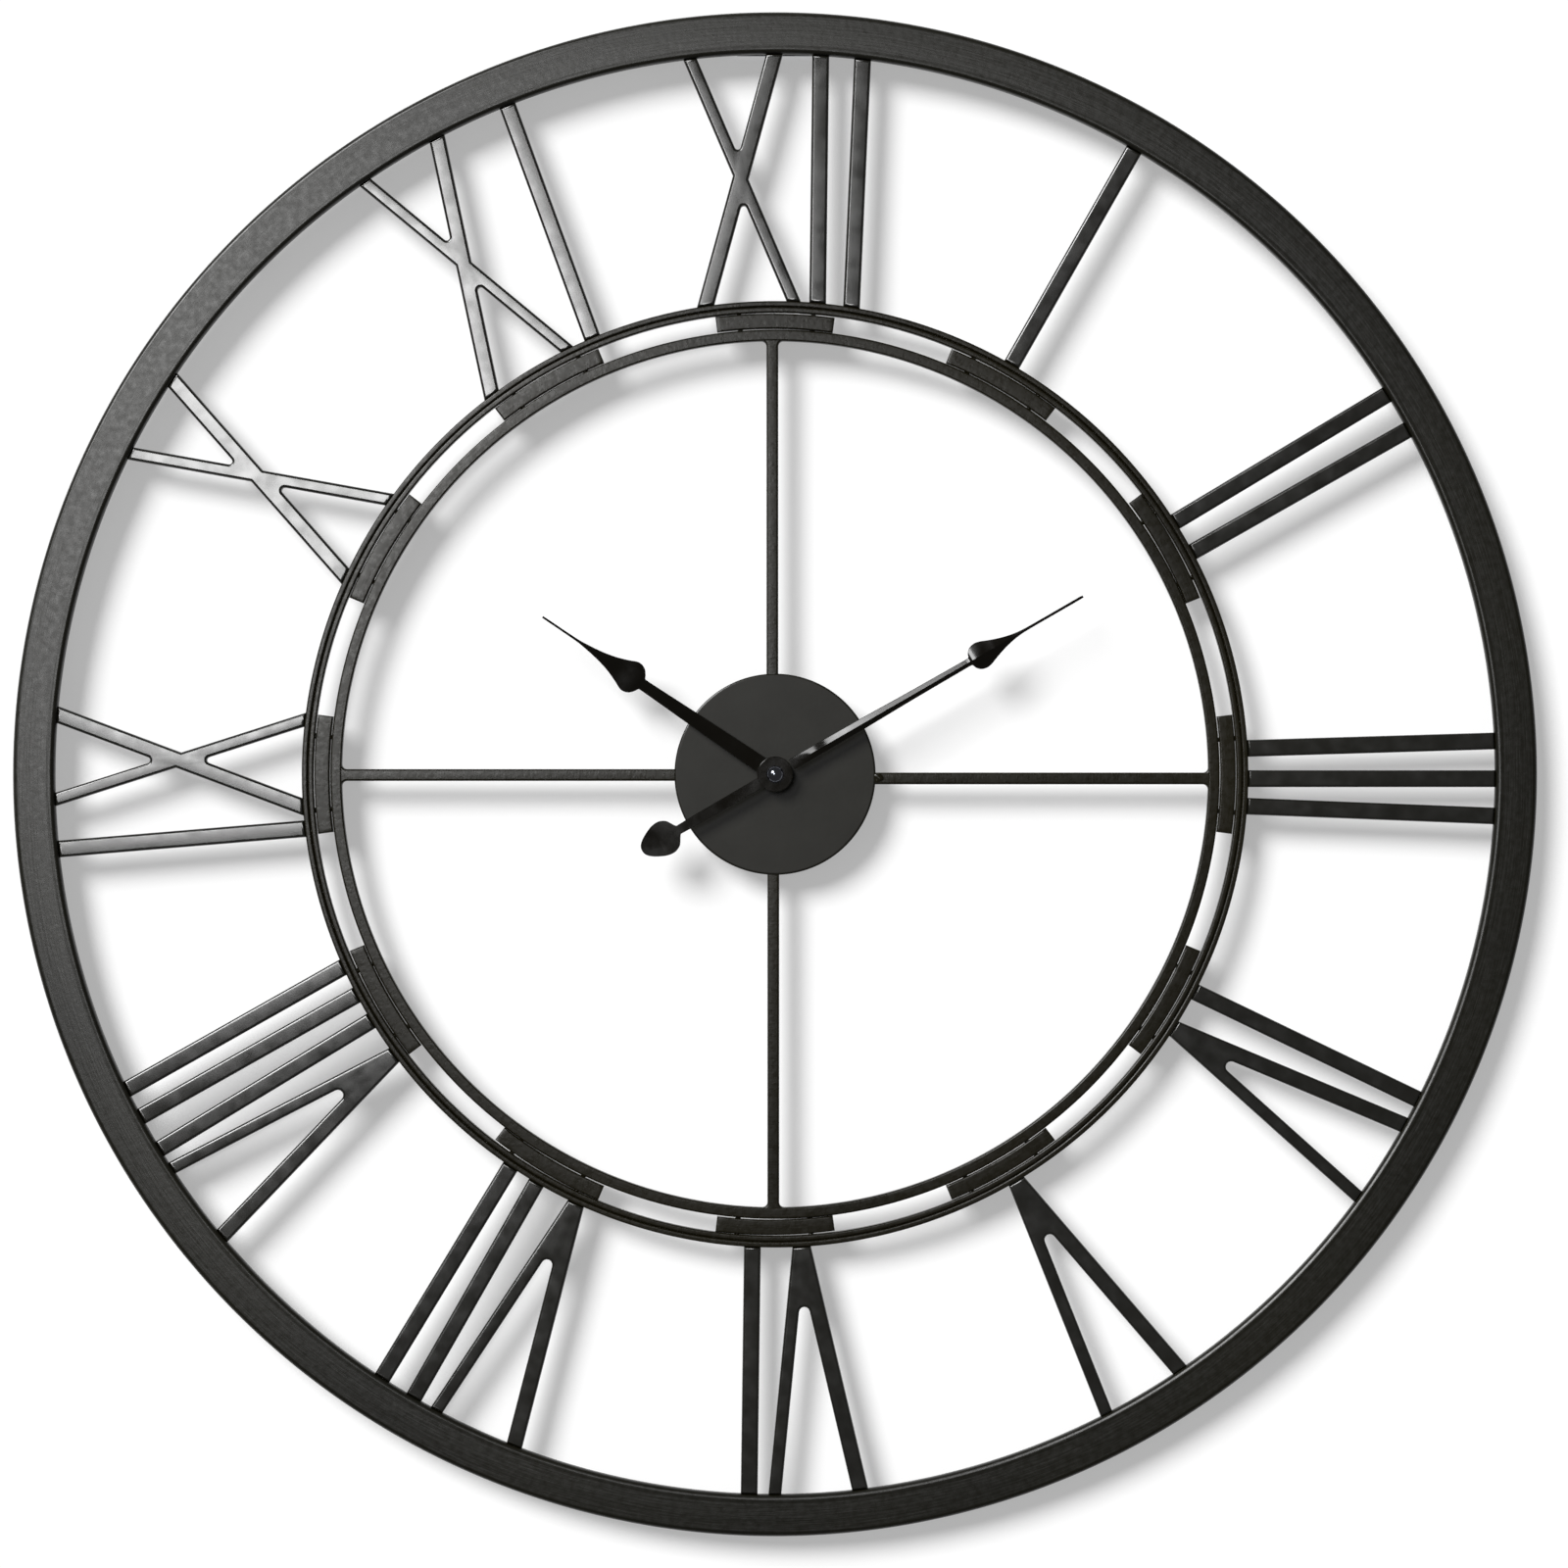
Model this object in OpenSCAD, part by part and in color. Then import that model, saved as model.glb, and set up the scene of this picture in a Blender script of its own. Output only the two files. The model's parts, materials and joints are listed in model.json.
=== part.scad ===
// Skeleton wall clock with Roman numerals.
// Frame: X right, Z up, the viewer stands on the -Y side, the wall is the plane y = 0.
// The origin is on the wall, straight behind the hand shaft.

/* [Clock frame] */
// Outside diameter of the clock
clock_d = 800; // [660:10:960]
// Width of the flat tube the outer ring is rolled from
ring_w = 22; // [18:0.5:27]
// Thickness of the outer ring, front to back
ring_t = 8; // [6.6:0.1:9.6]
// Wall thickness of the flat tube
ring_wall = 1.2; // [0.8:0.1:1.5]
// Radius on the long edges of the flat tube
ring_edge_r = 2.8; // [2:0.1:3.2]
// Diameter of the rubber bumpers that hold the ring off the wall
bumper_d = 11; // [9:0.5:13]
// Thickness, front to back, of numerals, chapter rings, blocks and spokes
flat_t = 5; // [4.2:0.1:6]

/* [Chapter rings] */
// Outer radius of the outermost chapter ring
chapter_r = 248.4; // [207:0.2:298]
// Width of each of the two thin chapter rings
thin_ring_w = 3.05; // [2.5:0.05:3.7]
// Gap between the two thin rings where they are not stitched
ring_seam = 0.1; // [0.05:0.01:0.2]
// Width of the inner chapter ring
inner_ring_w = 6; // [5:0.1:8]
// Radial width of an hour block
block_w = 8; // [6.6:0.1:9.6]
// Gap between a block and the ring on each side
block_gap = 0.4; // [0.3:0.02:0.6]
// Angle covered by one hour block
block_deg = 14.9; // [12:0.1:18]

/* [Numerals] */
// Width of a plain bar
bar_w = 8.9; // [7.4:0.1:10.7]
// Width of the thick arm of V and X
thick_w = 8.5; // [7:0.1:10.2]
// Width of the thin arm of V and X
thin_w = 6.8; // [5.6:0.1:8.2]
// Radius on the front edges of the strokes
stroke_edge_r = 2.2; // [1.5:0.1:2.5]
// Radius in the inner corner of a V
v_corner_r = 2.8; // [2:0.1:3.5]
// Radius in the inner corners of an X
x_corner_r = 1.6; // [1:0.1:2.2]

/* [Spokes and hub] */
// Width of a spoke
spoke_w = 6.2; // [5:0.1:7.5]
// Distance a spoke sits off the centre line
spoke_off = 1.2; // [0:0.1:2]
// Radius of the corners where a spoke meets the inner chapter ring
spoke_corner_r = 2.6; // [1.5:0.1:4]
// Outside radius of the hub disc
hub_r = 52.8; // [48:0.1:63]
// Thickness of the hub disc
hub_t = 2.5; // [2:0.1:3]
// Radius on the front edge of the hub disc
hub_edge_r = 1.3; // [0.8:0.1:1.5]

/* [Hands] */
// Length of the minute hand, shaft to tip
minute_len = 184.4; // [154:0.2:221]
// Length of the hour hand, shaft to tip
hour_len = 146.2; // [122:0.2:175]
// Radius of the round boss in the middle of both hands
hand_boss_r = 9.3; // [8:0.1:11]
// Sheet thickness of the hands
hand_t = 0.8; // [0.5:0.05:1]
// Clockwise angle of the minute hand from twelve o'clock
minute_deg = 60; // [0:1:359]
// Clockwise angle of the hour hand from twelve o'clock
hour_deg = 304.1; // [0:0.1:359]

/* [Movement] */
// Side of the square movement case
case_w = 56; // [55:0.5:64]
// Depth of the movement, rear cover included
case_d = 15.8; // [15.8:0.1:18]
// Wall thickness of the case
case_wall = 1; // [0.8:0.1:1.4]
// Thickness of the rubber gasket
gasket_t = 1; // [0.6:0.1:1.5]
// Outer radius of the threaded bush
bush_r = 3.9; // [3.6:0.1:4.6]
// Outer radius of the hour pipe
hour_pipe_r = 2.5; // [2.3:0.05:2.8]
// Outer radius of the minute tube
minute_tube_r = 1.4; // [1.25:0.05:1.45]
// Radius of the thin arbors
arbor_r = 0.4; // [0.3:0.05:0.5]
// Running clearance around rotating shafts
run_gap = 0.15; // [0.1:0.01:0.25]

/* [Hidden] */
$fn = 96;
ring_r = clock_d / 2;
ring_in = ring_r - ring_w;
ring_b_out = chapter_r - thin_ring_w - ring_seam;
ring_b_in = ring_b_out - thin_ring_w;
block_out = ring_b_in - block_gap;
block_in = block_out - block_w;
ring_c_out = block_in - block_gap;
ring_c_in = ring_c_out - inner_ring_w;
block_mid = (block_out + block_in) / 2;

// depths along the shaft, measured forward from the wall
case_back = 2;
case_front = case_back + case_d;
hub_back = case_front + gasket_t;
hub_front = hub_back + hub_t;
face = hub_front;                       // front of the flat metalwork
back = face - flat_t;                   // its back
ring_back = (face + back) / 2 - ring_t / 2 - 0.3;
flange_t = 0.5;
nut_t = 2;
hour_f = hub_front + 5.4;
minute_f = hour_f + 3.2;
cap_f = minute_f + hand_t;
hour_pipe_end = hour_f + hand_t + 0.3;
bush_end = hub_front + flange_t + nut_t + 0.4;
tube_end = cap_f + 2;
in_back = case_back + case_wall;
in_front = case_front - case_wall;

// movement layout
half = case_w / 2;
in_half = half - case_wall;
bay_h = 14.8;
bay_lo = -half + case_wall;
bay_hi = bay_lo + bay_h;
room_lo = bay_hi + case_wall;
batt_r = 7.1;
batt_f = in_back - 0.6 + batt_r;
batt_z = bay_lo + 0.35 + batt_r;
batt_len = 49.5;
nub_len = 1;

third_c = 9.18;
inter_c = 7.92;
rotor_c = 8.4;
motion_c = 7.2;
third_a = 150;
inter_a = -10;
rotor_a = 20;
motion_a = 60;
function polar(r, a) = [r * cos(a), r * sin(a)];
third_p = polar(third_c, third_a);
inter_p = polar(inter_c, inter_a);
rotor_p = inter_p + polar(rotor_c, rotor_a);
minute_p = polar(motion_c, motion_a);
knob_p = polar(2 * motion_c, motion_a);
plate_f = 9.2;
plate_t = 0.8;
stator_f = 6;
stator_t = 0.8;
coil_x = 22.5;
coil_lo = -6.2;
coil_hi = 9.2;
knob_hole_r = 1 + run_gap;

// strokes of each numeral: [offset at the outer ring, offset at the chapter ring]
bars = [
  [], [[-0.7, 0.1]], [[-12, -9.8], [9.5, 8.5]], [[-17.5, -13.6], [2.3, 2.3], [21.9, 16.8]],
  [[-21, -11.3]], [], [[13.6, 11.9]], [[0.7, 1.3], [20.2, 17.4]],
  [[-8.8, -6.1], [10.8, 9.5], [26.9, 25.7]], [[-39.4, -28.7]], [], [[54.5, 31.8]],
  [[24, 22.4], [46.1, 40.3]]
];
thick = [
  [], [], [], [], [-5.7, 10.7], [-27.9, -3.3], [-45.3, -14.6], [-58.9, -22.7],
  [-66.3, -28.4], [31.8, -16.9], [21.3, -22.4], [13.3, -28.8], [-0.3, -35.7]
];
thin = [
  [], [], [], [], [39.4, 12.1], [17.2, -1.7], [0.1, -12.5], [-13, -20.9],
  [-20.7, -26.5], [-13.3, 28.1], [-23.6, 23.3], [-31.5, 16.7], [-45.8, 9.7]
];
// small tilt of each hour block, degrees clockwise
tilt = [0, -0.2, 0.55, 0.1, 0, 0, -0.45, 0.45, 0.2, 0, 0.1, 0, 0.3];

// outline of the hands: [station, half width]
minute_out = [
  [0, 3.15], [20, 3.05], [52, 2.85], [80, 2.35], [112, 2.08], [116.4, 2.05],
  [118, 2.4], [118.9, 4.4], [121, 6.4], [124.1, 7.2], [127, 6.75], [130.5, 5.4],
  [134.5, 3.95], [139, 2.6], [144.5, 1.4], [150, 0.85], [158, 0.72], [minute_len - 0.5, 0.7],
  [minute_len, 0.45]
];
tail_out = [
  [0, 2.95], [20, 2.9], [45, 2.75], [56.6, 2.45], [58.3, 2.6], [59.6, 4.4],
  [61.6, 7.3], [64.4, 8.85], [67, 9.15], [69.8, 8.6], [72.4, 7.5], [75, 5.9],
  [77.4, 3.9], [79, 2.1], [80.1, 0.5]
];
hour_out = [
  [0, 4.4], [20, 4.25], [50, 3.7], [77, 3.1], [83, 3.05], [84.2, 3.3], [85.2, 5],
  [87, 7.2], [89.2, 8.35], [91.2, 8.65], [93.2, 8.2], [95.8, 7], [98.4, 5.95],
  [103, 4.3], [108.2, 2.95], [113.3, 2], [118.4, 1.3], [124, 0.72], [132, 0.6],
  [hour_len - 0.4, 0.55], [hour_len, 0.35]
];

// ---------------------------------------------------------------- helpers

// lifts a flat shape drawn in X and Z into a plate between depths f0 and f0 + t
module plate(f0, t) {
  translate([0, -f0, 0])
    rotate([90, 0, 0])
      linear_extrude(height = t)
        children();
}

// turns a profile drawn as [radius, depth] around the shaft axis
module turned() {
  rotate([90, 0, 0])
    rotate_extrude()
      children();
}

module disc(f0, t, r, p = [0, 0]) {
  plate(f0, t)
    translate(p)
      circle(r = r);
}

module tube(f0, t, r, bore, p = [0, 0]) {
  plate(f0, t)
    translate(p)
      difference() {
        circle(r = r);
        circle(r = bore);
      }
}

module annulus(r_out, r_in) {
  difference() {
    circle(r = r_out);
    circle(r = r_in);
  }
}

// rectangle with two rounded front corners, lower edge on y = 0, centred on x
module arched(w, t, r) {
  translate([-w / 2, 0])
    square([w, t - r]);
  translate([-w / 2 + r, 0])
    square([w - 2 * r, t]);
  for (s = [-1, 1])
    translate([s * (w / 2 - r), t - r])
      circle(r = r);
}

module soft_square(w, h, r) {
  translate([-w / 2 + r, -h / 2])
    square([w - 2 * r, h]);
  translate([-w / 2, -h / 2 + r])
    square([w, h - 2 * r]);
  for (sx = [-1, 1])
    for (sy = [-1, 1])
      translate([sx * (w / 2 - r), sy * (h / 2 - r)])
        circle(r = r);
}

// turned ring with rounded front edges, from the back plane to the face plane
module soft_ring(r_out, r_in, edge) {
  turned()
    translate([(r_out + r_in) / 2, back])
      arched(r_out - r_in, flat_t, edge);
}

// toothed disc, one tooth centred on the angle ph
module gear(n, m, ph) {
  r = n * m / 2;
  tip = r + 0.95 * m;
  root = r - 1.2 * m;
  pitch = 360 / n;
  tooth = [[root, -0.27], [r, -0.19], [tip, -0.09], [tip, 0.09], [r, 0.19], [root, 0.27]];
  polygon([for (k = [0 : n - 1]) for (t = tooth) polar(t[0], ph + (k + t[1]) * pitch)]);
}

// ---------------------------------------------------------------- frame

module outer_ring() {
  color("#2e2d2b")
    difference() {
      turned()
        translate([ring_r - ring_w / 2, ring_back + ring_t / 2])
          soft_square(ring_w, ring_t, ring_edge_r);
      turned()
        translate([ring_r - ring_w / 2, ring_back + ring_t / 2])
          soft_square(ring_w - 2 * ring_wall, ring_t - 2 * ring_wall, ring_edge_r - ring_wall);
    }
}

module chapter_ring_outer() {
  color("#2b2a28")
    soft_ring(chapter_r, chapter_r - thin_ring_w, 0.9);
}

module chapter_ring_middle() {
  color("#2b2a28") {
    soft_ring(ring_b_out, ring_b_in, 0.9);
    // stitch welds that bridge the seam to the outer ring
    for (a = [0 : 45 : 315])
      plate(back, flat_t - 1.2)
        rotate(a + 7)
          intersection() {
            annulus(chapter_r - thin_ring_w, ring_b_out - 0.5);
            translate([-2.5, chapter_r - 2 * thin_ring_w])
              square([5, 2 * thin_ring_w]);
          }
  }
}

module chapter_ring_inner() {
  color("#2b2a28")
    soft_ring(ring_c_out, ring_c_in, 1);
}

// block at hour h with four small weld beads that reach the rings
module hour_block(h) {
  color("#302f2d")
    plate(back, flat_t - 0.2)
      rotate(-30 * h) {
        translate([0, block_mid])
          rotate(-tilt[h])
            translate([0, -block_mid])
              intersection() {
                annulus(block_out, block_in);
                polygon([[0, 0], polar(2 * chapter_r, 90 - block_deg / 2),
                         polar(2 * chapter_r, 90 + block_deg / 2)]);
              }
        intersection() {
          annulus(ring_b_in, ring_c_out);
          for (a = [-block_deg * 0.3, block_deg * 0.32])
            for (r = [block_out, block_in])
              rotate(a)
                translate([-1.3, r - 1])
                  square([2.6, 2]);
        }
      }
}

module hour_block_01() hour_block(1);
module hour_block_02() hour_block(2);
module hour_block_03() hour_block(3);
module hour_block_04() hour_block(4);
module hour_block_05() hour_block(5);
module hour_block_06() hour_block(6);
module hour_block_07() hour_block(7);
module hour_block_08() hour_block(8);
module hour_block_09() hour_block(9);
module hour_block_10() hour_block(10);
module hour_block_11() hour_block(11);
module hour_block_12() hour_block(12);

// ---------------------------------------------------------------- numerals

span = ring_in - chapter_r;
function off_at(s, r) = s[1] + (s[0] - s[1]) * (r - chapter_r) / span;
function lean(s) = atan((s[0] - s[1]) / span);
function reach(s, w) = w / 2 / cos(lean(s));

// one stroke with rounded front edges, long enough to be trimmed at both ends
module stroke(s, w) {
  extra = 12;
  len = span / cos(lean(s)) + 2 * extra;
  translate([s[1], -back, chapter_r])
    rotate([0, lean(s), 0])
      translate([0, 0, -extra])
        linear_extrude(height = len)
          rotate(180)
            arched(w, flat_t, stroke_edge_r);
}

// fills the corner between the left stroke a and the right stroke b, starting at
// radius r0, and leaves a round corner of radius q
module corner(a, wa, b, wb, r0, q) {
  ka = reach(a, wa) + q / cos(lean(a));
  kb = reach(b, wb) + q / cos(lean(b));
  g0 = off_at(b, chapter_r) - off_at(a, chapter_r) - ka - kb;
  g1 = (b[0] - b[1] - a[0] + a[1]) / span;
  rc = chapter_r - g0 / g1;
  uc = off_at(a, rc) + ka;
  plate(back, flat_t - 0.3)
    difference() {
      polygon([[off_at(a, r0), r0], [off_at(b, r0), r0],
               [off_at(b, rc), rc], [off_at(a, rc), rc]]);
      translate([uc, rc])
        circle(r = q + 0.15);
    }
}

module v_shape(h) {
  stroke(thick[h], thick_w);
  stroke(thin[h], thin_w);
  corner(thick[h], thick_w, thin[h], thin_w, chapter_r - 0.8, v_corner_r);
}

module x_shape(h) {
  a = thin[h];
  b = thick[h];
  cross = chapter_r + span * (a[1] - b[1]) / (a[1] - b[1] + b[0] - a[0]);
  stroke(b, thick_w);
  stroke(a, thin_w);
  corner(a, thin_w, b, thick_w, cross, x_corner_r);
  corner(b, thick_w, a, thin_w, cross, x_corner_r);
}

module numeral(h) {
  color("#353432")
    rotate([0, 30 * h, 0])
      intersection() {
        union() {
          for (s = bars[h])
            stroke(s, bar_w);
          if (h >= 4 && h <= 8)
            v_shape(h);
          if (h >= 9)
            x_shape(h);
        }
        plate(back - 1, flat_t + 2)
          annulus(ring_in, chapter_r);
      }
}

module numeral_01() numeral(1);
module numeral_02() numeral(2);
module numeral_03() numeral(3);
module numeral_04() numeral(4);
module numeral_05() numeral(5);
module numeral_06() numeral(6);
module numeral_07() numeral(7);
module numeral_08() numeral(8);
module numeral_09() numeral(9);
module numeral_10() numeral(10);
module numeral_11() numeral(11);
module numeral_12() numeral(12);

// ---------------------------------------------------------------- spokes, hub

// spoke that leaves the hub at the clockwise angle a, set off its centre line by e
module spoke(a, e) {
  q = spoke_corner_r;
  color("#2b2a28")
    plate(back, flat_t - 0.4)
      rotate(-a)
        intersection() {
          annulus(ring_c_in, hub_r);
          union() {
            translate([e - spoke_w / 2, 0])
              square([spoke_w, ring_c_in + 5]);
            difference() {
              translate([e - spoke_w / 2 - q, ring_c_in - q - 0.7])
                square([spoke_w + 2 * q, q + 5]);
              for (s = [-1, 1])
                translate([e + s * (spoke_w / 2 + q), ring_c_in - q - 0.7])
                  circle(r = q);
            }
          }
        }
}

module spoke_top() spoke(0, -spoke_off);
module spoke_right() spoke(90, spoke_off);
module spoke_bottom() spoke(180, spoke_off);
module spoke_left() spoke(270, -spoke_off);

module hub_disc() {
  color("#302f2d")
    difference() {
      turned() {
        translate([0, hub_back])
          square([hub_r - hub_edge_r, hub_t]);
        translate([0, hub_back])
          square([hub_r, hub_t - hub_edge_r]);
        intersection() {
          translate([hub_r - hub_edge_r, hub_front - hub_edge_r])
            circle(r = hub_edge_r);
          translate([0, hub_back])
            square([hub_r + 1, hub_t]);
        }
      }
      disc(hub_back - 1, hub_t + 2, bush_r + 0.2);
    }
}

module rubber_bumpers() {
  color("#3a3a3a")
    for (a = [45 : 90 : 315])
      disc(0, ring_back, bumper_d / 2, polar(ring_r - ring_w / 2, a));
}

bracket_f = 1;
bracket_t = 1.2;

// strap behind the ring at twelve o'clock with the keyhole for the wall screw
module hanger_bracket() {
  mid = ring_r - ring_w / 2;
  hole_z = mid - 3;
  color("#b8babd") {
    plate(bracket_f, bracket_t)
      difference() {
        translate([-20, mid - 9.5])
          square([40, 19]);
        translate([0, hole_z])
          circle(r = 3.6);
        translate([-1.9, hole_z])
          square([3.8, 5]);
        translate([0, hole_z + 5])
          circle(r = 1.9);
      }
    for (s = [-1, 1])
      plate(bracket_f, ring_back - bracket_f)
        translate([s * 19.25 - 0.75, mid - 7])
          square([1.5, 14]);
  }
}

// ---------------------------------------------------------------- movement case

module movement_front_case() {
  bay_front = batt_f + batt_r + 0.1;
  color("#1f1f21")
    difference() {
      union() {
        difference() {
          plate(in_back, case_front - in_back)
            soft_square(case_w, case_w, 3);
          plate(in_back - 1, in_front - in_back + 1)
            translate([-in_half, room_lo])
              square([2 * in_half, in_half - room_lo]);
          plate(in_back - 1, bay_front - in_back + 1)
            translate([-in_half, bay_lo])
              square([2 * in_half, bay_h]);
        }
        // post for the minute wheel
        disc(12, in_front - 11.9, 0.6, minute_p);
        // bearing bosses
        disc(15, in_front - 14.9, 1.8, knob_p);
        disc(13, in_front - 12.9, 1.2, third_p);
        disc(8.2, in_front - 8.1, 1.2, rotor_p);
        // posts that carry the middle plate and the circuit board
        for (p = [[-24.5, 24], [-24.5, -8.5], [11, 24], [11, -8.5]])
          disc(plate_f + plate_t, in_front - plate_f - plate_t + 0.1, 1.4, p);
        for (p = [[15.5, 24], [24.5, 24]])
          disc(7, in_front - 6.9, 1.1, p);
        for (z = [coil_lo - 2.4, coil_hi + 2.4])
          disc(stator_f + stator_t, in_front - 6.7, 1.1, [17, z]);
      }
      disc(in_front - 1, 3, bush_r + 0.05);
      disc(14, in_front - 14.5, 0.6 + run_gap, knob_p);
      disc(12, 2, arbor_r + run_gap, third_p);
      disc(7, 3, arbor_r + run_gap, rotor_p);
    }
}

module movement_rear_cover() {
  eye_z = half + 3.4;
  color("#242426")
    difference() {
      union() {
        plate(case_back, case_wall)
          intersection() {
            soft_square(case_w, case_w, 3);
            translate([-half, bay_hi])
              square([case_w, case_w]);
          }
        // hanging eye
        plate(case_back, 2) {
          translate([-7, half - 0.9])
            square([14, 4.3]);
          translate([0, eye_z])
            circle(r = 7);
        }
        // pivot bosses
        for (p = [[0, 0], third_p, inter_p, rotor_p])
          disc(in_back - 0.1, 0.6, 1.1, p);
      }
      disc(case_back - 1, 5, 3, [0, eye_z]);
      disc(case_back - 1, 4, knob_hole_r, knob_p);
      for (p = [[0, 0], third_p, inter_p, rotor_p])
        disc(in_back, 2, arbor_r + run_gap, p);
      plate(in_back, 2)
        translate([-half, half - 1.2])
          square([case_w, 1.2]);
    }
}

module middle_plate() {
  color("#d8d4c8")
    difference() {
      plate(plate_f, plate_t)
        translate([-26, room_lo + 0.5])
          square([38.5, 36]);
      disc(plate_f - 1, 3, arbor_r + run_gap + 0.1);
      disc(plate_f - 1, 3, 1.8, third_p);
      disc(plate_f - 1, 3, arbor_r + run_gap, inter_p);
      disc(plate_f - 1, 3, knob_hole_r, knob_p);
    }
}

module threaded_bush() {
  bore = hour_pipe_r + run_gap;
  color("#b08d4a") {
    tube(in_front - 0.9, 0.9, bush_r + 1.8, bore);
    tube(in_front, bush_end - in_front, bush_r, bore);
  }
}

// hexagon nut with a round flange that presses on the hub disc
module bush_nut() {
  color("#c0a060")
    plate(hub_front, flange_t)
      annulus(7.6, bush_r);
  color("#c0a060")
    plate(hub_front + flange_t - 0.05, nut_t + 0.05)
      difference() {
        polygon([for (k = [0 : 5]) polar(6.9, 60 * k)]);
        circle(r = bush_r);
      }
}

module rubber_gasket() {
  color("#202020")
    plate(case_front, gasket_t)
      difference() {
        soft_square(30, 30, 3);
        circle(r = bush_r + 0.3);
      }
}

// ---------------------------------------------------------------- electrics

// rod along X between x0 and x1, centred on the battery axis
module rod(x0, x1, r) {
  translate([x0, -batt_f, batt_z])
    rotate([0, 90, 0])
      cylinder(h = x1 - x0, r = r);
}

batt_x0 = -in_half + 2.5;
batt_x1 = batt_x0 + batt_len;

module battery() {
  color("#6a6f76") {
    rod(batt_x0, batt_x1, batt_r);
    rod(batt_x1 - 0.1, batt_x1 + nub_len, 2.7);
  }
}

module battery_contacts() {
  contact_t = 0.4;
  color("#c9ccd1") {
    translate([in_half - contact_t, -batt_f - 5, batt_z - 5])
      cube([contact_t, 10, 10]);
    rod(batt_x1 + nub_len, in_half - contact_t + 0.05, 2.2);
    translate([-in_half, -batt_f - 5, batt_z - 5])
      cube([contact_t, 10, 10]);
    for (k = [0 : 3])
      translate([-in_half + contact_t + 0.25 + 0.5 * k, -batt_f, batt_z])
        rotate([0, 90, 0])
          rotate_extrude()
            translate([4.2 - 0.42 * k, 0])
              circle(r = 0.35);
  }
}

module stator() {
  arm = 2.6;
  color("#9a9ea3") {
    plate(stator_f, stator_t)
      difference() {
        union() {
          translate([rotor_p[0] - 4.4, coil_lo - arm - 1.2])
            square([8.8 - 2.2, coil_hi - coil_lo + 2 * arm + 2.4]);
          for (z = [coil_lo - arm - 1.2, coil_hi + 1.2])
            translate([rotor_p[0] - 4.4, z])
              square([coil_x + 5.8 - rotor_p[0], arm]);
          translate(rotor_p)
            circle(r = 5);
        }
        translate(rotor_p)
          circle(r = 3.4);
        translate([coil_x - 4.2, coil_lo - 1.2])
          square([8.4, coil_hi - coil_lo + 2.4]);
      }
    // core that carries the coil
    plate(stator_f + stator_t, 0.8)
      translate([coil_x - 1, coil_lo - arm - 1])
        square([2, coil_hi - coil_lo + 2 * arm + 2]);
  }
}

// box between x and z limits, between two depths
module block(x0, x1, z0, z1, f0, f1) {
  translate([x0, -f1, z0])
    cube([x1 - x0, f1 - f0, z1 - z0]);
}

core_f = stator_f + stator_t + 0.4;

module coil_bobbin() {
  color("#e6e2d6")
    difference() {
      union() {
        block(coil_x - 1.6, coil_x + 1.6, coil_lo - 0.8, coil_hi + 0.8, core_f - 1, core_f + 1);
        for (z = [coil_lo - 0.8, coil_hi])
          block(coil_x - 3.2, coil_x + 3.2, z, z + 0.8, core_f - 3.2, core_f + 3.2);
      }
      block(coil_x - 1, coil_x + 1, coil_lo - 3, coil_hi + 3, core_f - 0.4, core_f + 0.4);
    }
}

module coil_winding() {
  color("#b5652b")
    difference() {
      translate([coil_x, -core_f, coil_lo])
        cylinder(h = coil_hi - coil_lo, r = 2.9);
      block(coil_x - 1.6, coil_x + 1.6, coil_lo - 1, coil_hi + 1, core_f - 1, core_f + 1);
    }
}

board_f = 6;
board_t = 1;

module circuit_board() {
  color("#2f6b3a") {
    block(13.6, 26, 14.6, 26, board_f, board_f + board_t);
    // potted chip on the back of the board
    difference() {
      translate([17.5, -board_f - 0.6, 19])
        sphere(r = 2.6);
      block(10, 26, 10, 30, board_f, board_f + 6);
      block(10, 26, 10, 30, 0, board_f - 1.2);
    }
  }
}

module quartz_crystal() {
  color("#c4c7cc") {
    translate([23, -board_f + 1, 16.6])
      cylinder(h = 6, r = 1);
    block(22.2, 23.8, 16, 17, board_f - 1.5, board_f);
  }
}

// ---------------------------------------------------------------- wheels

// shaft between two depths at the point p
module arbor(f0, f1, p = [0, 0], r = arbor_r) {
  disc(f0, f1 - f0, r, p);
}

module rotor() {
  color("#4a4a4e") {
    disc(5.2, 2.2, 2.7, rotor_p);
    plate(3.6, 1)
      translate(rotor_p)
        gear(12, 0.2, rotor_a + 180);
    arbor(in_back + 0.1, 9.1, rotor_p);
  }
}

module intermediate_wheel() {
  color("#e8e4d0") {
    plate(3.8, 0.6)
      translate(inter_p)
        gear(72, 0.2, rotor_a + 2.5);
    plate(4.4, 1.7)
      translate(inter_p)
        gear(12, 0.22, inter_a + 180);
    arbor(in_back + 0.1, plate_f + plate_t - 0.1, inter_p);
  }
}

module seconds_wheel() {
  color("#e8e4d0") {
    plate(5, 0.7)
      gear(60, 0.22, inter_a + 3);
    plate(5.7, 1.9)
      gear(8, 0.27, third_a);
    arbor(in_back + 0.1, tube_end - 0.4);
  }
}

module third_wheel() {
  color("#e8e4d0") {
    plate(6.4, 0.7)
      translate(third_p)
        gear(60, 0.27, third_a + 180 + 3);
    plate(7.1, 5.1)
      translate(third_p)
        gear(8, 0.255, third_a + 180);
    arbor(in_back + 0.1, 13.9, third_p);
  }
}

// rides on the minute tube, gripped between the foot and the pinion of the tube
module centre_wheel() {
  color("#d8b868")
    difference() {
      plate(11.05, 0.7)
        gear(64, 0.255, third_a + 180 / 64);
      disc(10, 3, minute_tube_r + 0.03);
    }
}

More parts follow.
